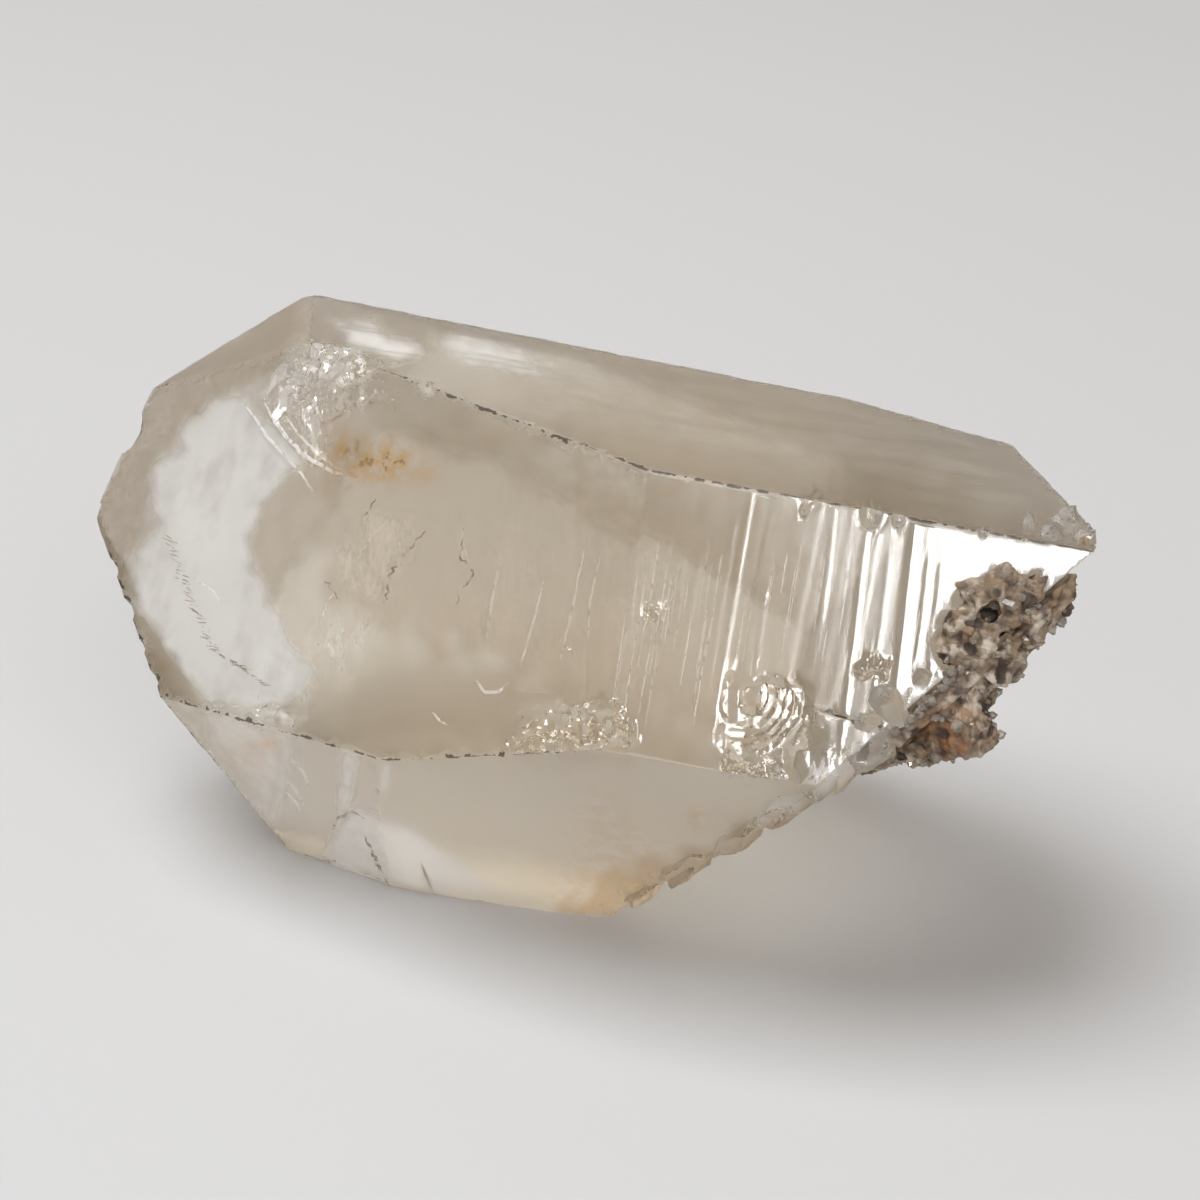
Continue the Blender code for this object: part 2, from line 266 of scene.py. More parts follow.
def slice_through(mesh, normal, start, end, spacing, keep=None):
    """Cut a mesh along parallel planes, its edges then following them."""
    for count in range(round((end - start) / spacing)):
        if keep is None:
            geometry = mesh.verts[:] + mesh.edges[:] + mesh.faces[:]
        else:
            faces = [face for face in mesh.faces if face.normal.dot(keep) > 0.99]
            edges = dict.fromkeys(edge for face in faces for edge in face.edges)
            verts = dict.fromkeys(vert for face in faces for vert in face.verts)
            geometry = [*verts, *edges, *faces]
        bmesh.ops.bisect_plane(mesh, geom=geometry, dist=1e-4, plane_no=normal,
                               plane_co=normal * (start + spacing * count))


# The cells of the mesh in millimetres: along the axis, where the growth lines are, three times
# as fine; across it; and the size of the slivers that are welded away.
CELL = 0.48
FINE_FROM = -36.0 + 48 * CELL
ACROSS_CELL = 0.56
SLIVER = 0.06
slice_through(crystal_mesh, AXIS, -36.0, 36.0, CELL)
slice_through(crystal_mesh, AXIS, FINE_FROM, 36.0, CELL / 3, FRONT)
slice_through(crystal_mesh, side, -28.0, 28.0, ACROSS_CELL)
slice_through(crystal_mesh, rise, -8.0, 38.0, ACROSS_CELL)
bmesh.ops.remove_doubles(crystal_mesh, verts=crystal_mesh.verts, dist=SLIVER)
bmesh.ops.dissolve_degenerate(crystal_mesh, edges=crystal_mesh.edges, dist=0.001)
crystal_mesh.normal_update()

# Growth lines across the front prism: where each starts and ends in view, how wide and high.
GROWTH_LINES = [
    ((754, 478), (712, 729), 0.14, 0.018),
    ((767, 585), (756, 665), 0.09, 0.010),
    ((834, 512), (822, 615), 0.10, 0.014),
    ((866, 537), (841, 744), 0.12, 0.028),
    ((917, 509), (895, 700), 0.26, 0.045),
    ((889, 560), (872, 700), 0.09, 0.012),
    ((929, 560), (912, 700), 0.09, 0.028),
    ((941, 570), (926, 700), 0.08, 0.028),
    ((952, 600), (938, 690), 0.09, 0.032),
    ((700, 560), (676, 690), 0.10, 0.010),
    ((684, 560), (664, 700), 0.09, 0.009),
    ((735, 520), (706, 700), 0.09, 0.009),
    ((642, 470), (628, 640), 0.16, 0.012),
]
# Shell-shaped chips: outline in view, the centre of their ribs, rib spacing, depth, the radius
# within which there are no ribs, and the two turns between which they run, clockwise.
FANS = [
    ([(712, 742), (738, 720), (736, 690), (758, 668), (786, 676), (806, 712), (800, 744),
      (772, 756), (748, 752), (722, 756)], (744, 694), 8.6, 0.085, 17.2, -50.0, 140.0),
    ([(857, 502), (878, 498), (893, 506), (890, 526), (872, 538), (858, 522)],
     (842, 506), 7.0, 0.08, 0.0, -200.0, 200.0),
    ([(790, 486), (812, 480), (824, 492), (820, 512), (802, 516)],
     (806, 488), 9.0, 0.040, 0.0, -200.0, 200.0),
    ([(826, 750), (840, 744), (852, 758), (846, 776), (830, 772)],
     (838, 762), 7.0, 0.040, 0.0, -200.0, 200.0),
    ([(272, 396), (300, 380), (330, 410), (366, 460), (356, 484), (316, 480), (290, 440)],
     (392, 372), 12.0, 0.050, 0.0, -200.0, 200.0),
]
# Small flats that catch the light: outline in view and the slope to the right.
FLATS = [
    ([(738, 692), (752, 686), (762, 694), (758, 716), (740, 714)], 0.20),
    ([(500, 720), (540, 706), (600, 716), (590, 736), (530, 744)], 0.05),
]

# Each line as its two places on the axis, its two heights, its width and how far it rises. The
# first ones are those of the photograph, the rest are faint ones between them.
FAINT_LINES = 90
FAINT_RISE = 0.004
lines = []
for start, end, width, height in GROWTH_LINES:
    first = under(front_face, *start)
    last = under(front_face, *end)
    lines.append((first.dot(AXIS), last.dot(AXIS), first.z, last.z, width, height))
for count in range(FAINT_LINES):
    place = 33.0 - 36.0 * random.random() ** 1.5
    top = random.uniform(16.0, 33.0)
    fall = random.uniform(2.0, 13.0)
    strength = random.uniform(0.25, 1.0)
    lines.append((place, place, top, top - fall, random.uniform(0.05, 0.12),
                  FAINT_RISE * strength))


def growth(place):
    """Return the height of the growth lines of the front prism at a place."""
    height = 0.0
    along_axis = place.dot(AXIS) + 0.03 * noise.noise(place * 0.3)
    for first, last, top, bottom, width, tall in lines:
        if not bottom - 0.6 < place.z < top + 0.6:
            continue
        part = (top - place.z) / max(0.1, top - bottom)
        gap = (along_axis - first - (last - first) * part) / width
        if abs(gap) < 2.0:
            ends = min(1.0, (place.z - bottom + 0.6) / 0.8, (top + 0.6 - place.z) / 0.8)
            height += tall * ends * math.exp(-gap * gap)
    ledge = noise.noise(Vector((along_axis * 1.6, 3.0, place.z * 0.04)))
    steps = 0.5 + 0.5 * math.tanh(5.0 * ledge)
    fine = noise.noise(Vector((along_axis * 3.1, 0.0, place.z * 0.05)))
    return height + 0.003 * steps + 0.002 * fine


def ripple(px, py):
    """Return the height of the shell-shaped ribs in the chips."""
    height = 0.0
    for outline, centre, spacing, tall, calm, from_turn, to_turn in FANS:
        if not close_to(outline, px, py):
            continue
        depth = inside_by(outline, px, py)
        if depth <= 0:
            continue
        reach = math.hypot(px - centre[0], py - centre[1])
        reach += 4.0 * noise.noise(Vector((px, py, 0)) * 0.05)
        turn = math.degrees(math.atan2(py - centre[1], px - centre[0]))
        fade = min(1.0, (turn - from_turn) / 12.0, (to_turn - turn) / 12.0)
        if reach < calm or fade <= 0.0:
            continue
        rib = (reach / spacing) % 1.0
        rib = rib if rib < 0.8 else (1.0 - rib) * 4.0
        height -= tall * fade * min(1.0, depth / 6.0) * rib
    return height


def shards(place, cells, lean=0.0):
    """Return the height of a surface broken into small flats that lean to the right."""
    middle = noise.voronoi(place * cells)[1][0] / cells
    tilt = noise.cell_vector(middle * 40.0) - Vector((0.5, 0.5, 0.5))
    return 1.1 * tilt.dot(place - middle) - lean * (place.x - middle.x)


# Broken, sparkling places: outline in view, how rough each is and how its flats lean.
RUBBLE = [
    ([(506, 738), (520, 716), (552, 706), (590, 700), (630, 716), (640, 742), (560, 756),
      (514, 756)], 1.0, 0.50),
    ([(586, 706), (604, 692), (628, 712), (612, 728)], 1.0, 0.50),
    ([(560, 640), (574, 636), (580, 660), (566, 668)], 0.8, 0.50),
    ([(640, 604), (666, 606), (662, 624), (642, 622)], 0.9, 0.16),
    ([(712, 758), (752, 762), (786, 774), (770, 788), (726, 776)], 0.9, 0.16),
    ([(849, 662), (870, 650), (894, 658), (888, 680), (858, 680)], 0.9, 0.14),
    ([(276, 372), (300, 336), (340, 342), (390, 374), (404, 412), (372, 404), (340, 414),
      (296, 420)], 0.55, 0.25),
    ([(1034, 530), (1060, 510), (1094, 512), (1098, 552), (1074, 548)], 0.7, 0.0),
    ([(804, 800), (850, 768), (905, 735), (965, 712), (950, 760), (880, 790), (820, 820)],
     0.6, 0.1),
    ([(560, 925), (612, 890), (690, 858), (770, 815), (830, 800), (800, 850), (700, 890),
      (620, 930)], 0.5, 0.0),
    ([(236, 652), (276, 672), (296, 700), (268, 712), (240, 690)], 0.3, 0.4),
    ([(176, 560), (196, 590), (226, 650), (206, 660), (180, 612)], 0.25, 0.4),
]
# Darker places, partly a smokier tint of the quartz and partly painted shade: outline in view, how
# far the edge fades in pixels and the strength.
SMOKE_AND_SHADE = [
    ([(300, 296), (190, 356), (130, 400), (90, 480), (80, 560), (110, 620), (140, 690),
      (196, 704), (150, 650), (124, 600), (126, 560), (150, 520), (150, 470), (180, 430),
      (220, 392), (270, 382), (300, 330)], 10, 0.85),
    ([(560, 920), (600, 876), (690, 850), (780, 812), (830, 790), (960, 700), (1000, 740),
      (800, 860), (620, 940)], 14, 0.90),
    ([(300, 700), (420, 640), (560, 700), (700, 720), (680, 760), (500, 750), (380, 746)],
     40, 0.35),
    ([(150, 690), (200, 708), (260, 800), (220, 790)], 8, 0.35),
    # Painted shade over the front prism: it darkens what shows through the prism.
    ([(320, 480), (430, 420), (600, 480), (700, 500), (800, 510), (826, 560), (816, 690),
      (790, 740), (700, 730), (560, 700), (420, 640), (320, 610)], 40, 0.70),
    ([(520, 372), (600, 380), (760, 420), (900, 450), (960, 480), (880, 478), (700, 440),
      (560, 420)], 30, 0.35),
]
# Rust: where it has soaked in, its reach in pixels and its strength.
RUST = [
    ((348, 452), 24, 1.0), ((366, 462), 14, 0.7), ((396, 460), 22, 1.0), ((384, 472), 10, 0.6),
    ((428, 474), 14, 0.45), ((270, 742), 9, 0.8), ((248, 756), 18, 0.35), ((1084, 543), 9, 1.0),
    ((302, 312), 20, 0.35), ((600, 815), 36, 0.22), ((696, 818), 12, 0.4), ((779, 822), 8, 0.6),
    ((640, 878), 50, 0.35), ((580, 905), 40, 0.4), ((740, 850), 30, 0.3),
]
# The outline of the tip at the left, along which dirt has gathered.
LEFT_EDGE = [(250, 330), (200, 357), (155, 385), (135, 445), (103, 487), (97, 520), (118, 583),
             (125, 629), (158, 688), (180, 713), (218, 764), (267, 825), (310, 866)]


SHORT_EDGE = 0.13
AROUND_OUTLINE = 8


def refine(mesh, outlines, cuts):
    """Divide the visible faces within outlines in pixels into smaller ones."""
    edges = {}
    for face in mesh.faces:
        middle = face.calc_center_median()
        if face.normal.dot(eye - middle) <= 0:
            continue
        px, py = pixel_of(middle)
        if any(inside_by(outline, px, py) > -AROUND_OUTLINE for outline in outlines
               if close_to(outline, px, py)):
            edges.update((edge, True) for edge in face.edges if edge.calc_length() > SHORT_EDGE)
    bmesh.ops.subdivide_edges(mesh, edges=list(edges), cuts=cuts, use_grid_fill=True)
    mesh.normal_update()


refine(crystal_mesh, [entry[0] for entry in FANS + FLATS + RUBBLE], 2)


SAME_FACE = 0.985


def touches(vert, first, second):
    """Return whether a point lies on the edge between faces of two directions."""
    return (any(face.normal.dot(first) > SAME_FACE for face in vert.link_faces)
            and any(face.normal.dot(second) > SAME_FACE for face in vert.link_faces))


# How rough each face is; how near a normal has to be to a face's own direction, as a cosine;
# how much two faces may turn at a point that still counts as flat; pixels in a millimetre.
FRONT_ROUGH = 0.12
SMOOTH_ROUGH = 0.22
LOWER_ROUGH = 0.40
FAR_ROUGH = 0.55
NEARLY = 0.93
FLAT_TURN = math.cos(math.radians(9.0))
PIXELS_A_MM = 14.3
DIRT_REACH = 10.0
TIP_FROM = -12

frost = crystal_mesh.verts.layers.float.new("frost")
grime = crystal_mesh.verts.layers.float.new("grime")
rubble = crystal_mesh.verts.layers.float.new("rubble")
rust = crystal_mesh.verts.layers.float.new("rust")
smoke_and_shade = crystal_mesh.verts.layers.float.new("smoke_and_shade")
moves = {}
for vert in crystal_mesh.verts:
    normals = [face.normal for face in vert.link_faces]
    flat = min(normals[0].dot(other) for other in normals) > FLAT_TURN
    facing = vert.normal
    place = vert.co
    seen = facing.dot(eye - place) > 0
    px, py = pixel_of(place)
    away = 0.0
    rough = FAR_ROUGH
    if facing.dot(FRONT) > NEARLY and not facing.dot(TIP_FRONT) > SAME_FACE:
        rough = FRONT_ROUGH
        if flat:
            away += growth(place)
    elif facing.dot(TIP_FRONT) > NEARLY:
        rough = SMOOTH_ROUGH
        away += 0.05 * noise.noise(place * 0.45) + 0.02 * noise.noise(place * 1.3)
    elif facing.dot(TOP) > 0.95:
        rough = SMOOTH_ROUGH
        away += 0.012 * noise.noise(Vector((place.dot(AXIS) * 0.25, place.dot(side) * 1.4, 0)))
    elif facing.dot(TIP_LOWER) > NEARLY and place.x < TIP_FROM:
        rough = SMOOTH_ROUGH
        away += 0.03 * noise.noise(place * 0.5)
    elif facing.dot(LOWER) > 0.9:
        rough = LOWER_ROUGH
        away += 0.03 * noise.noise(place * 0.9) + 0.012 * noise.noise(place * 3.3)
    else:
        away += 0.05 * noise.noise(place * 0.6) + 0.02 * noise.noise(place * 2.1)
        if abs(facing.dot(AXIS)) < 0.15:
            across = Vector((place.dot(AXIS) * 1.3, place.z * 0.06, 11.0))
            away += 0.03 * noise.noise(across)
    if not flat:
        away -= 0.10 * max(0.0, noise.noise(place * 1.1))
    if seen:
        lean = 0.0
        for outline, strength, slope in RUBBLE:
            if close_to(outline, px, py):
                wander = 8.0 * noise.noise(Vector((px, py, 0)) * 0.09)
                within = inside_by(outline, px, py) + wander
                if within > 0:
                    vert[rubble] = max(vert[rubble], strength * min(1.0, within / 5.0))
                    lean = slope
        for spot, reach, strength in RUST:
            gap = math.hypot(px - spot[0], py - spot[1]) / reach
            if gap < 2.5:
                vert[rust] = min(1.0, vert[rust] + strength * math.exp(-gap * gap))
        for outline, fade, strength in SMOKE_AND_SHADE:
            if close_to(outline, px, py, fade):
                wander = fade * noise.noise(Vector((px, py, 0)) * 0.04)
                within = (inside_by(outline, px, py) + wander) / fade
                vert[smoke_and_shade] = max(vert[smoke_and_shade], strength * min(1.0, max(0.0, within + 0.5)))
        away += ripple(px, py)
        # The solid's hollow in the largest chip is deeper than its ribs need, so it is raised.
        hollow = (place - front_face[0]).dot(front_face[1])
        if facing.dot(FRONT) > 0.4 and -0.6 < hollow < 0.0 and close_to(FANS[0][0], px, py):
            raised = min(1.0, max(0.0, inside_by(FANS[0][0], px, py) / 8.0 + 1.0))
            away -= 0.75 * raised * hollow
        for outline, slope in FLATS:
            if inside_by(outline, px, py) > 0:
                away -= slope * (px - outline[0][0]) / PIXELS_A_MM
        if vert[rubble] > 0:
            broken = 0.6 * shards(place, 1.3, lean) + 0.7 * shards(place, 2.9, lean * 0.5)
            away += vert[rubble] * (broken + 0.05 * noise.noise(place * 1.6))
        if touches(vert, TOP, FRONT) or touches(vert, TOP, TIP_FRONT):
            vert[grime] = 1.0
        elif touches(vert, TIP_FRONT, TIP_LOWER) or touches(vert, TIP_FRONT, LOWER):
            vert[grime] = 0.9
        elif not flat and place.x < -14 and to_line(LEFT_EDGE, px, py)[0] < DIRT_REACH:
            vert[grime] = 0.8
    vert[frost] = rough
    moves[vert] = facing * away
for vert, move in moves.items():
    vert.co += move

quartz, place, shader = new_material("smoky_clear_quartz")
shader.inputs["Transmission Weight"].default_value = 1.0
shader.inputs["IOR"].default_value = QUARTZ_IOR
# The quartz is clear inside but for a faint smoky absorption.
inside = quartz.node_tree.nodes.new("ShaderNodeVolumeAbsorption")
inside.inputs["Color"].default_value = (0.52, 0.36, 0.08, 1.0)
inside.inputs["Density"].default_value = 17.5
whole = quartz.node_tree.nodes["Material Output"]
quartz.node_tree.links.new(inside.outputs[0], whole.inputs["Volume"])
# Its skin is tinted by smoke and painted shade, which darken some places, and by rust, with brown
# flecks in the rust and dark specks of dirt along the edges, and is rougher or smoother from face
# to face.
clear = (0.985, 0.98, 0.965, 1.0)
mottle = place.noise(800.0, 3.0, 0.7)
smoky_and_shaded = place.painted("smoke_and_shade").blend(clear, (0.60, 0.50, 0.38, 1.0))
soaked = place.painted("rust") * (mottle.between(0.32, 0.60) * 0.95 + 0.2)
tinted = soaked.blend(smoky_and_shaded, (0.72, 0.40, 0.13, 1.0))
fine = place.noise(1600.0, 2.0, 0.6)
fleck = (fine * 0.9 + place.painted("rust") * 0.42).between(0.94, 1.0)
flecked = fleck.blend(tinted, (0.30, 0.15, 0.06, 1.0))
dashes = mottle.between(0.36, 0.56) * 0.40 + 0.42
speck = (fine + place.painted("grime") * dashes).between(0.98, 1.06)
plug(speck.blend(flecked, (0.05, 0.035, 0.025, 1.0)), shader, "Base Color")
plug(place.painted("frost") - place.painted("rubble") * 0.14 + mottle * 0.06, shader, "Roughness")
grit = place.noise(2300.0, 0.0) * (0.004 + place.painted("rubble") * 0.45)
plug(grit.bump(0.8, 0.00035), shader, "Normal")
crystal = finished(crystal_mesh, "clear_crystal", quartz, 25.0)
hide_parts("quartz_crystal")


# Milky veils lie in the crystal a little under its faces: healed cracks full of tiny bubbles,
# and the ghost of an earlier tip. Each is a thin sheet, grown in with the quartz.
LEAST_DEPTH = 0.10


def kept_inside(place):
    """Return a place, moved to just inside the crystal where it lies nearer or outside."""
    nearest, normal = plain_surface.find_nearest(place)[:2]
    if (place - nearest).dot(normal) > -LEAST_DEPTH:
        return nearest - normal * LEAST_DEPTH
    return place


def veil_patch(mesh, face, outline, depth, soft, strength, rag=6.0, spacing=4.0, bend=0.4):
    """Add a sheet under a face within an outline in pixels, thinning out over soft pixels."""
    low_x = min(point[0] for point in outline) - soft
    low_y = min(point[1] for point in outline) - soft
    wide = max(point[0] for point in outline) + soft - low_x
    tall = max(point[1] for point in outline) + soft - low_y
    cover = mesh.verts.layers.float.get("cover") or mesh.verts.layers.float.new("cover")
    grid = bmesh.ops.create_grid(mesh, x_segments=max(2, round(wide / spacing)),
                                 y_segments=max(2, round(tall / spacing)), size=0.5)
    for vert in grid["verts"]:
        px = low_x + (vert.co.x + 0.5) * wide
        py = low_y + (vert.co.y + 0.5) * tall
        wander = rag * noise.fractal(Vector((px, py, depth * 40)) * 0.035, 1.0, 2.0, 4)
        within = (inside_by(outline, px, py) + wander) / soft
        if face_seen_at(px, py)[0] is not None:
            vert[cover] = strength * min(1.0, max(0.0, within + 0.5))
        dip = bend * noise.noise(Vector((px, py, 7.0)) * 0.012)
        vert.co = kept_inside(under(face, px, py, max(0.12, depth + dip)))
    gone = [face for face in mesh.faces if all(vert[cover] == 0.0 for vert in face.verts)]
    bmesh.ops.delete(mesh, geom=gone, context="FACES")


CRESCENT = [(180, 436), (192, 414), (220, 398), (246, 396), (262, 422), (284, 440), (298, 462),
            (284, 474), (262, 506), (250, 540), (252, 566), (264, 594), (278, 622), (296, 650),
            (312, 672), (300, 696), (262, 706), (204, 700), (178, 664), (158, 636), (138, 602),
            (136, 552), (160, 524), (148, 494), (156, 468), (186, 450)]
TIP_TRIANGLE = [(356, 520), (380, 514), (426, 520), (418, 544), (396, 572), (386, 602), (372, 600),
                (346, 588), (340, 556)]
TIP_CLOUD = [(440, 524), (500, 516), (520, 560), (512, 640), (470, 660), (450, 620), (438, 580)]
TIP_BAND = [(296, 650), (340, 622), (384, 606), (372, 640), (330, 692), (304, 700)]
LOW_WINDOW = [(332, 832), (356, 808), (392, 818), (430, 842), (470, 872), (530, 900), (436, 892),
              (386, 884), (326, 866)]
LOW_LEFT = [(206, 714), (260, 718), (288, 732), (280, 800), (268, 824), (232, 780), (210, 744)]
LOW_STREAKS = [
    [(344, 754), (358, 756), (352, 800), (340, 820), (338, 790)],
    [(384, 758), (394, 762), (388, 792), (380, 790)],
]
TOP_STREAK = [(332, 320), (372, 324), (420, 352), (392, 362), (354, 346)]
TOP_SMEAR = [(432, 336), (480, 340), (550, 366), (520, 374), (470, 358)]
TOP_HAZE = [(560, 370), (700, 390), (840, 410), (960, 450), (1040, 500), (980, 505), (800, 462),
            (640, 430), (540, 400)]
LOW_CLOUD = [(520, 780), (600, 770), (660, 800), (640, 860), (560, 860), (500, 820)]
FRONT_CLOUD = [(622, 560), (662, 548), (690, 566), (682, 624), (650, 634), (628, 610)]
FRONT_HAZE = [(500, 470), (560, 480), (610, 500), (640, 600), (660, 690), (560, 700), (500, 660),
              (470, 560)]

veil_mesh = bmesh.new()
veil_patch(veil_mesh, tip_face, CRESCENT, 0.5, 12.0, 1.0)
milky, place, shader = new_material("milky_veil")
shader.inputs["Base Color"].default_value = (0.74, 0.73, 0.71, 1.0)
shader.inputs["Roughness"].default_value = 0.9
wisps = place.noise(240.0, 3.0, 0.65, (1.0, 1.0, 0.35)).between(0.2, 0.6)
plug(place.painted("cover") * (0.65 + wisps * 0.35), shader, "Alpha")
veils = finished(veil_mesh, "milky_veils", milky, 180.0)

# The veils beneath the lower tip face are given a whiter colour than the milky veils, a painted
# highlight standing in for the light that reaches them through the crystal.
pale_mesh = bmesh.new()
veil_patch(pale_mesh, None, LOW_WINDOW, 0.25, 10.0, 1.0, bend=0.1)
veil_patch(pale_mesh, low_tip_face, LOW_LEFT, 0.5, 26.0, 0.8)
for outline in LOW_STREAKS:
    veil_patch(pale_mesh, None, outline, 0.3, 8.0, 0.9, 3.0, 2.5, 0.1)
painted_bright, place, shader = new_material("painted_bright_veil")
# Whiter base colour: painted highlight.
shader.inputs["Base Color"].default_value = (0.96, 0.925, 0.88, 1.0)
shader.inputs["Roughness"].default_value = 0.9
wisps = place.noise(300.0, 3.0, 0.65).between(0.2, 0.6)
plug(place.painted("cover") * (0.7 + wisps * 0.3), shader, "Alpha")
low_veils = finished(pale_mesh, "low_veils", painted_bright, 180.0)

# Thinner clouds are drawn out in wisps, across the prism like the growth lines.
wisp_mesh = bmesh.new()
veil_patch(wisp_mesh, tip_face, TIP_TRIANGLE, 1.2, 16.0, 0.85)
veil_patch(wisp_mesh, tip_face, TIP_CLOUD, 1.1, 30.0, 0.16, 14.0)
veil_patch(wisp_mesh, tip_face, TIP_BAND, 1.0, 26.0, 0.65, 10.0)
veil_patch(wisp_mesh, low_face, LOW_CLOUD, 1.4, 40.0, 0.25, 20.0)
veil_patch(wisp_mesh, front_face, FRONT_CLOUD, 1.2, 20.0, 0.45, 12.0)
veil_patch(wisp_mesh, front_face, FRONT_HAZE, 1.8, 50.0, 0.14, 18.0)
wispy, place, shader = new_material("wispy_veil")
shader.inputs["Base Color"].default_value = (0.95, 0.93, 0.89, 1.0)
shader.inputs["Roughness"].default_value = 0.9
threads = place.noise(330.0, 4.0, 0.7, (1.5, 0.6, 0.16)).between(0.38, 0.70)
plug(place.painted("cover") * threads, shader, "Alpha")
wisps = finished(wisp_mesh, "wispy_veils", wispy, 180.0)


# Under the top face the veils run along the prism.
long_mesh = bmesh.new()
veil_patch(long_mesh, top_face, TOP_STREAK, 0.5, 16.0, 1.0, 8.0)
veil_patch(long_mesh, top_face, TOP_SMEAR, 0.6, 18.0, 1.0, 8.0)
veil_patch(long_mesh, top_face, TOP_HAZE, 1.2, 40.0, 0.22, 12.0, 8.0)
drawn, place, shader = new_material("drawn_out_veil")
shader.inputs["Base Color"].default_value = (0.96, 0.945, 0.92, 1.0)
shader.inputs["Roughness"].default_value = 0.9
along_prism = place.turned((0.0, 0.0, 0.24))
threads = along_prism.noise(330.0, 3.0, 0.65, (0.16, 1.1, 1.0)).between(0.34, 0.62)
plug(place.painted("cover") * threads, shader, "Alpha")
drawn_veils = finished(long_mesh, "top_veils", drawn, 180.0)


# Fine bright lines are white ribbons close under the surface, each lying nearly flat beneath the
# face like a narrow gap in the quartz. Their white is partly that of open cracks and partly a
# painted highlight for the light that cracks, chip ribs and growth lines catch.
def ribbon_under(mesh, face, points, width, depth=0.15, jag=1.5):
    """Add a ribbon under a face along points in pixels, tapering to both ends."""
    steps = max(3, round(sum(math.dist(a, b) for a, b in zip(points, points[1:])) / 3.0))
    ribbon = bmesh.ops.create_grid(mesh, x_segments=steps, y_segments=1, size=0.5)
    spans = len(points) - 1
    for vert in ribbon["verts"]:
        part = min(0.9999, vert.co.x + 0.5) * spans
        first = points[int(part)]
        last = points[int(part) + 1]
        share = part - int(part)
        run = Vector((last[0] - first[0], last[1] - first[1])).normalized()
        taper = math.sin(math.pi * min(0.999, max(0.001, vert.co.x + 0.5))) ** 0.5
        aside = vert.co.y * width * taper + jag * noise.noise(Vector((part * 4.0, first[0], 0.0)))
        px = first[0] + (last[0] - first[0]) * share - run.y * aside
        py = first[1] + (last[1] - first[1]) * share + run.x * aside
        vert.co = kept_inside(under(face, px, py, depth + (vert.co.y + 0.5) * 0.04))


# Arcs and short lines of the tip face, cracks with a painted highlight, in view, with their width
# in pixels.
bright_mesh = bmesh.new()
for points, width in (
    ([(272, 414), (286, 436), (302, 454), (332, 472), (360, 478)], 4.0),
    ([(242, 400), (256, 420), (268, 438), (300, 472), (314, 492)], 3.0),
    ([(284, 414), (300, 436), (318, 454), (342, 472)], 2.6),
    ([(262, 398), (276, 424), (290, 444)], 2.4),
    ([(300, 404), (304, 420), (316, 436)], 2.4),
    ([(476, 680), (484, 692), (498, 692), (510, 682)], 3.6),
    ([(432, 712), (440, 720), (447, 725)], 3.0),
    ([(464, 524), (462, 544), (470, 562)], 2.2),
    ([(390, 518), (372, 536), (356, 560)], 2.0),
    ([(500, 560), (492, 600), (486, 640)], 2.6),
    ([(544, 580), (534, 620), (520, 668)], 2.6),
    ([(586, 540), (574, 600), (560, 660)], 2.2),
    ([(600, 556), (590, 600), (588, 640)], 2.0),
    ([(336, 588), (326, 606), (320, 626)], 2.0),
    ([(196, 580), (212, 590), (222, 604)], 2.0),
):
    ribbon_under(bright_mesh, tip_face, points, width)
# Those of the lower tip face.
for points, width in (
    ([(340, 836), (332, 850), (326, 866)], 2.4),
    ([(292, 760), (302, 770), (310, 788)], 3.0),
    ([(282, 776), (296, 790), (304, 806)], 3.0),
    ([(286, 792), (296, 802), (300, 812)], 2.4),
):
    ribbon_under(bright_mesh, None, points, width, 0.35)
# Ribs of the largest chip, whose white is a painted highlight of the light the ribs catch, and
# fine lines that follow the growth lines of the front prism, most of them in its left part, partly
# cracks and partly painted highlights of the growth steps.
for radius in (27.0, 35.0, 43.0, 51.0, 60.0):
    arc = [math.radians(-38.0 + radius * 0.4 + 17.0 * step) for step in range(6)]
    rib = [(744 + radius * math.cos(angle), 698 + radius * math.sin(angle)) for angle in arc]
    ribbon_under(bright_mesh, front_face, rib, 1.8, 0.30)
FINE_CRACKS_AND_GLINTS = 46
LEFT_CRACKS_AND_GLINTS = 30
for count in range(FINE_CRACKS_AND_GLINTS):
    fall = random.uniform(30.0, 110.0)
    left = count < LEFT_CRACKS_AND_GLINTS
    start_x = random.uniform(620.0, 760.0) if left else random.uniform(760.0, 930.0)
    start_y = random.uniform(530.0, 640.0)
    ribbon_under(bright_mesh, front_face, [(start_x, start_y), (start_x - fall * 0.16, start_y + fall)],
          random.uniform(0.8, 1.8), random.uniform(0.1, 0.8), 0.3)
# The ribbons' white: partly the cracks' own, partly a painted highlight.
white, place, shader = new_material("crack_with_painted_glint")
shader.inputs["Base Color"].default_value = (0.99, 0.985, 0.97, 1.0)
shader.inputs["Roughness"].default_value = 0.25
plug(place.noise(1500.0, 3.0).between(0.25, 0.5) * 0.9, shader, "Alpha")
cracks_and_glints = finished(bright_mesh, "cracks_with_painted_glints", white, 180.0)

# Iron and clay have seeped into some cracks and colour them brown and grey.
DARK_CRACKS = [
    ([(300, 428), (320, 424), (340, 416), (350, 406), (364, 402), (392, 404), (398, 412)], 3.0),
    ([(428, 528), (410, 548), (392, 568), (388, 590), (384, 604)], 3.4),
    ([(464, 536), (460, 556), (474, 574), (462, 590), (456, 606)], 2.4),
    ([(376, 498), (368, 512), (360, 522)], 2.0),
    ([(324, 580), (334, 592), (342, 604)], 2.0),
    ([(240, 736), (262, 738)], 2.0),
]
dark_mesh = bmesh.new()
for points, width in DARK_CRACKS:
    ribbon_under(dark_mesh, tip_face, points, width, 0.1, 4.0)
for points in ([(364, 836), (372, 852), (380, 870), (388, 884)],
               [(420, 862), (427, 878), (434, 894)],
               [(332, 830), (338, 818), (352, 812), (366, 820)]):
    ribbon_under(dark_mesh, None, points, 3.4, 0.1, 2.0)
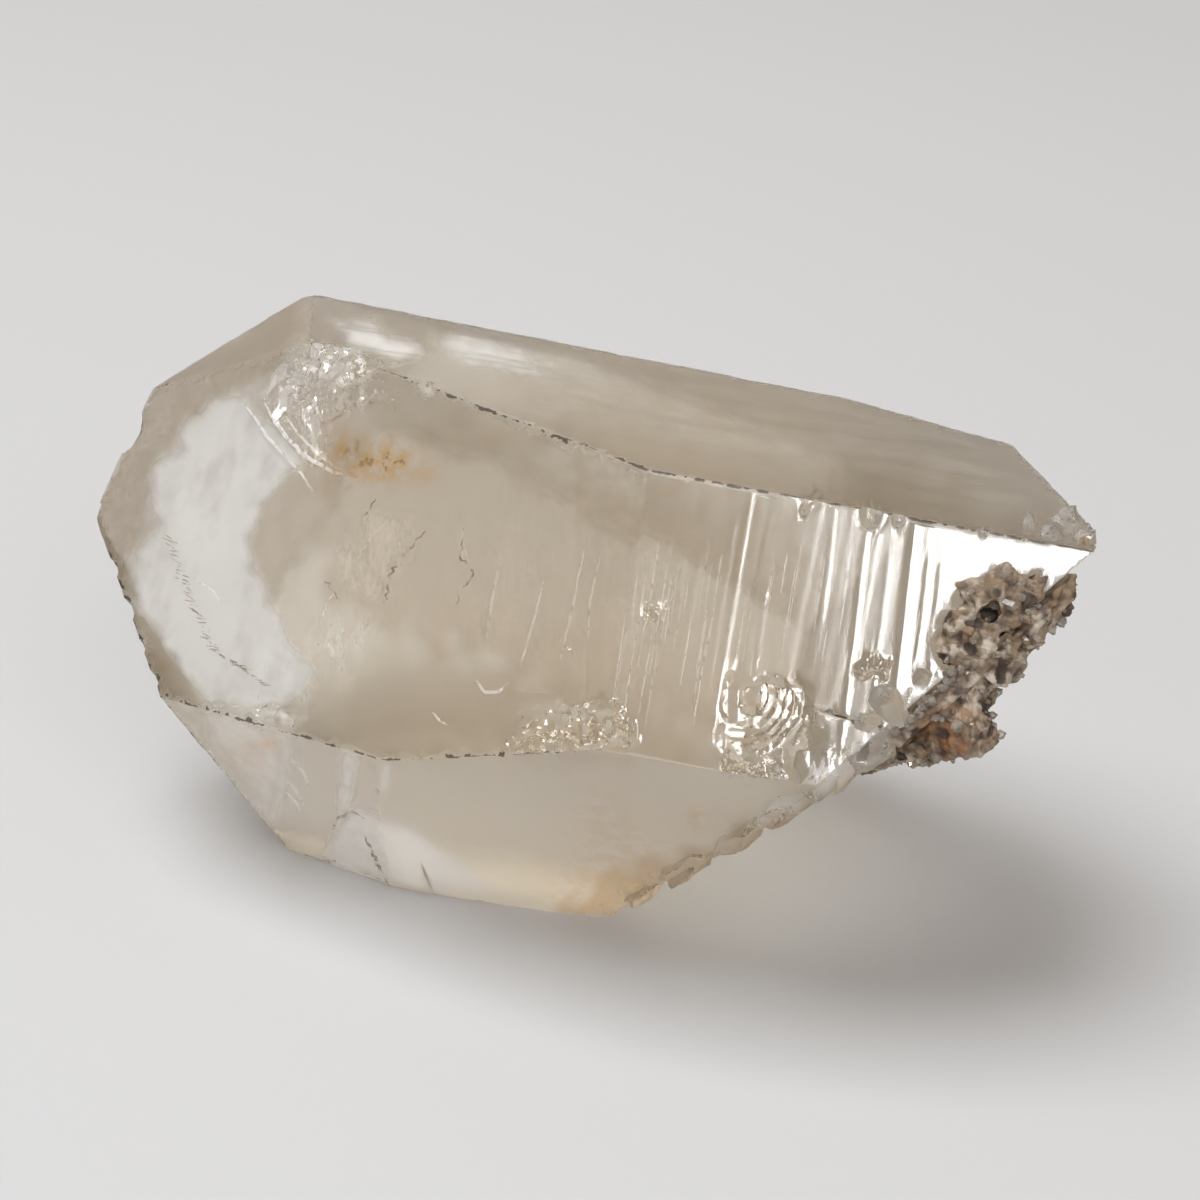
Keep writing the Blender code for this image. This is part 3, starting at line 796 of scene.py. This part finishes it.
# A comb of short strokes runs down the milky part of the tip.
COMB = [(168, 536), (180, 572), (192, 604), (208, 636), (220, 656), (244, 668), (268, 688)]
COMB_STROKES = 44
for count in range(COMB_STROKES):
    part = count / COMB_STROKES * (len(COMB) - 1)
    first = COMB[int(part)]
    last = COMB[int(part) + 1]
    share = part - int(part)
    x = first[0] + (last[0] - first[0]) * share + random.uniform(-2, 2)
    y = first[1] + (last[1] - first[1]) * share
    reach = random.uniform(4.0, 9.0)
    slope = random.uniform(0.1, 0.7)
    ribbon_under(dark_mesh, tip_face, [(x - reach, y - reach * slope), (x + reach, y + reach * slope)],
          1.3, 0.1, 1.0)
seep, place, shader = new_material("stained_crack")
tone = place.noise(700.0, 4.0).between(0.35, 0.65)
plug(tone.blend((0.22, 0.15, 0.10, 1.0), (0.50, 0.40, 0.30, 1.0)), shader, "Base Color")
shader.inputs["Roughness"].default_value = 0.7
plug(place.noise(1700.0, 3.0).between(0.36, 0.6) * 0.7, shader, "Alpha")
stained = finished(dark_mesh, "stained_cracks", seep, 180.0)


# The crust on the broken root is brown, iron-stained rock with small glinting crystals.
# It grew onto the crystal and holds by itself.
crust_mesh = copy_of("matrix_crust")
bmesh.ops.triangulate(crust_mesh, faces=crust_mesh.faces)
# Its mesh is made finer in steps, each of which halves the edges that are longer than this.
for longest in (1.2, 0.7, 0.4, 0.24):
    long_edges = [edge for edge in crust_mesh.edges if edge.calc_length() > longest]
    bmesh.ops.subdivide_edges(crust_mesh, edges=long_edges, cuts=1)
    bmesh.ops.triangulate(crust_mesh, faces=crust_mesh.faces)
bmesh.ops.smooth_vert(crust_mesh, verts=crust_mesh.verts, factor=0.5, use_axis_x=True,
                      use_axis_y=True, use_axis_z=True)
crust_mesh.normal_update()
# The orange patch of the crust, in view, and how far it reaches in pixels.
OCHRE = (952.0, 735.0)
OCHRE_REACH = 60.0
pit_shade = crust_mesh.verts.layers.float.new("pit_shade")
ochre = crust_mesh.verts.layers.float.new("ochre")
moves = {}
for vert in crust_mesh.verts:
    spot = vert.co * 1.3
    bend = [noise.noise(spot + Vector((shift, 0, 0))) for shift in (0, 9, 17)]
    place = vert.co + 0.2 * Vector(bend)
    big, small = noise.voronoi(place * 1.1)[0][0], noise.voronoi(place * 2.3)[0][0]
    hole = max(0.0, noise.noise(place * 0.8 + Vector((5, 1, 2))) - 0.30)
    height = 0.16 * (0.45 - big) + 0.22 * (0.4 - small) + 0.10 * shards(place, 2.6) - 0.7 * hole
    vert[pit_shade] = min(1.0, big * 0.4 + small * 0.6 + hole * 4.0)
    px, py = pixel_of(vert.co)
    vert[ochre] = max(0.0, 1.0 - math.hypot(px - OCHRE[0], py - OCHRE[1]) / OCHRE_REACH)
    moves[vert] = vert.normal * max(-0.35, height)
for vert, move in moves.items():
    vert.co += move
# Places for the druse: on faces of the crust that are clear of the crystal and look outward.
DRUSE_ON_CRUST = 190
SMALLEST_SEAT = 0.004
CLEAR_OF_CRYSTAL = 0.75
druse_places = []
faces = [face for face in crust_mesh.faces if face.calc_area() > SMALLEST_SEAT]
while len(druse_places) < DRUSE_ON_CRUST:
    face = random.choice(faces)
    centre = face.calc_center_median()
    nearest = plain_surface.find_nearest(centre)
    if nearest[3] > CLEAR_OF_CRYSTAL and face.normal.dot(nearest[1]) > -0.1:
        druse_places.append((centre.copy(), face.normal.copy()))

stain, place, shader = new_material("iron_stained_matrix")
shader.inputs["Roughness"].default_value = 0.62
grain = place.make("ShaderNodeTexVoronoi", {}, {"Vector": place, "Scale": 1700.0}, output=1)
kind = grain.make("ShaderNodeSeparateColor", {}, {"Color": grain})
pale = kind.between(0.2, 0.8).blend((0.33, 0.245, 0.165, 1.0), (0.60, 0.52, 0.42, 1.0))
patches = place.noise(330.0, 4.0, 0.65).between(0.42, 0.62)
base = patches.blend(pale, (0.23, 0.15, 0.08, 1.0))
orange = (place.painted("ochre") + place.noise(500.0, 4.0, 0.7) * 1.6).between(1.05, 1.7)
warm = orange.blend(base, (0.29, 0.13, 0.045, 1.0))
# Darker in the pits and hollows of the crust: painted shade.
dark = (place.painted("pit_shade") + place.noise(1500.0, 4.0, 0.7) * 0.6).between(0.72, 1.15)
plug(dark.blend(warm, (0.07, 0.042, 0.025, 1.0)), shader, "Base Color")
plug(place.noise(3000.0, 4.0, 0.7).bump(0.7, 0.0002), shader, "Normal")
crust = finished(crust_mesh, "stained_crust", stain, 60.0)
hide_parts("matrix_crust")

# Druse: tiny six-sided quartz crystals that stand on the crust and glint, and a seam of
# smaller ones on the front face along the crust's inner edge.
SEAM = [(967, 660), (898, 734)]
SEAM_CRYSTALS = 46
SEAM_SPREAD = 2.0
for count in range(SEAM_CRYSTALS):
    part = random.random()
    px = SEAM[0][0] + (SEAM[1][0] - SEAM[0][0]) * part + random.gauss(0.0, SEAM_SPREAD)
    py = SEAM[0][1] + (SEAM[1][1] - SEAM[0][1]) * part + random.gauss(0.0, SEAM_SPREAD)
    druse_places.append((under(front_face, px, py), FRONT))
druse_mesh = bmesh.new()
for centre, normal in druse_places:
    radius = random.uniform(0.11, 0.36)
    length = radius * random.uniform(1.2, 2.2)
    prism = bmesh.ops.create_cone(druse_mesh, cap_ends=True, segments=6, radius1=radius,
                                  radius2=radius * 0.94, depth=length)["verts"]
    for vert in prism:
        if vert.co.z > 0:
            vert.co.z += random.uniform(-0.06, 0.06)
    top_faces = [face for face in druse_mesh.faces
                 if all(corner in prism and corner.co.z > 0 for corner in face.verts)]
    poked = bmesh.ops.poke(druse_mesh, faces=top_faces, offset=radius * 0.9)
    group = prism + poked["verts"]
    aim = (normal + Vector([random.uniform(-0.7, 0.7) for axis in range(3)])).normalized()
    turn = Vector((0, 0, 1)).rotation_difference(aim).to_matrix().to_4x4()
    spin = Matrix.Rotation(random.uniform(0.0, math.pi), 4, "Z")
    bmesh.ops.transform(druse_mesh, verts=group,
                        matrix=Matrix.Translation(centre + aim * length * 0.25) @ turn @ spin)
glint, place, shader = new_material("druse_quartz")
shader.inputs["Transmission Weight"].default_value = 0.7
shader.inputs["IOR"].default_value = QUARTZ_IOR
shader.inputs["Roughness"].default_value = 0.08
tone = place.noise(900.0, 2.0).between(0.3, 0.7)
plug(tone.blend((0.48, 0.39, 0.30, 1.0), (0.80, 0.75, 0.67, 1.0)), shader, "Base Color")
druse = finished(druse_mesh, "druse_crystals", glint, 15.0)


# The table top is a plain pale sheet, much larger than the specimen.
FLOOR_DROP = 0.0001
floor_data = bpy.data.meshes.new("floor")
floor_mesh = bmesh.new()
bmesh.ops.create_grid(floor_mesh, x_segments=1, y_segments=1, size=2.5)
bmesh.ops.translate(floor_mesh, vec=(0, 0, -FLOOR_DROP), verts=floor_mesh.verts)
floor_mesh.to_mesh(floor_data)
floor_mesh.free()
floor = bpy.data.objects.new("floor", floor_data)
bpy.context.scene.collection.objects.link(floor)
pale, place, shader = new_material("pale_table")
shader.inputs["Base Color"].default_value = (0.62, 0.62, 0.625, 1.0)
shader.inputs["Roughness"].default_value = 0.6
floor_data.materials.append(pale)


# Daylight from all round, a soft window above on the left, two weak fills in front and a light
# box above the camera, which the front prism mirrors at its right end.
world = bpy.data.worlds.new("daylight")
world.use_nodes = True
bpy.context.scene.world = world
world.node_tree.nodes["Background"].inputs["Color"].default_value = (1.0, 0.885, 0.785, 1.0)
world.node_tree.nodes["Background"].inputs["Strength"].default_value = 0.30


def soft_lamp(name, towards, distance, size, power, colour=(1.0, 1.0, 1.0)):
    """Make an area lamp in a direction from the crystal, facing it."""
    data = bpy.data.lights.new(name, "AREA")
    data.shape = "RECTANGLE"
    data.size = size[0]
    data.size_y = size[1]
    data.energy = power
    data.color = colour
    lamp = bpy.data.objects.new(name, data)
    aim = Vector(towards).normalized()
    lamp.location = aim * distance + Vector((0, 0, 0.018))
    lamp.rotation_euler = aim.to_track_quat("Z", "Y").to_euler()
    bpy.context.scene.collection.objects.link(lamp)
    return lamp


soft_lamp("window", (-0.31, 0.05, 1.0), 0.85, (0.52, 0.52), 6.3, (0.95, 0.98, 1.0))
soft_lamp("left_fill", (-0.62, -0.68, 0.36), 1.1, (0.8, 0.8), 0.8, (0.98, 0.98, 1.0))
front_fill = soft_lamp("front_fill", (0.30, -0.70, 0.75), 0.9, (0.5, 0.5), 1.8, (0.97, 0.98, 1.0))
front_fill.visible_glossy = False
front_box = soft_lamp("front_box", (0.054, -0.765, 0.643), 0.7, (0.24, 0.24), 4.2)
front_box.visible_diffuse = False

# The camera looks at the long side from the front, thirty degrees down.
camera_data = bpy.data.cameras.new("camera")
camera_data.lens = 72.0
camera_data.sensor_width = 36.0
camera_data.clip_start = 0.01
camera = bpy.data.objects.new("camera", camera_data)
camera.location = eye * 0.001
camera.rotation_euler = (math.pi / 2 - VIEW_TILT, 0.0, 0.0)
bpy.context.scene.collection.objects.link(camera)
bpy.context.scene.camera = camera

bpy.context.scene.view_settings.view_transform = "Standard"
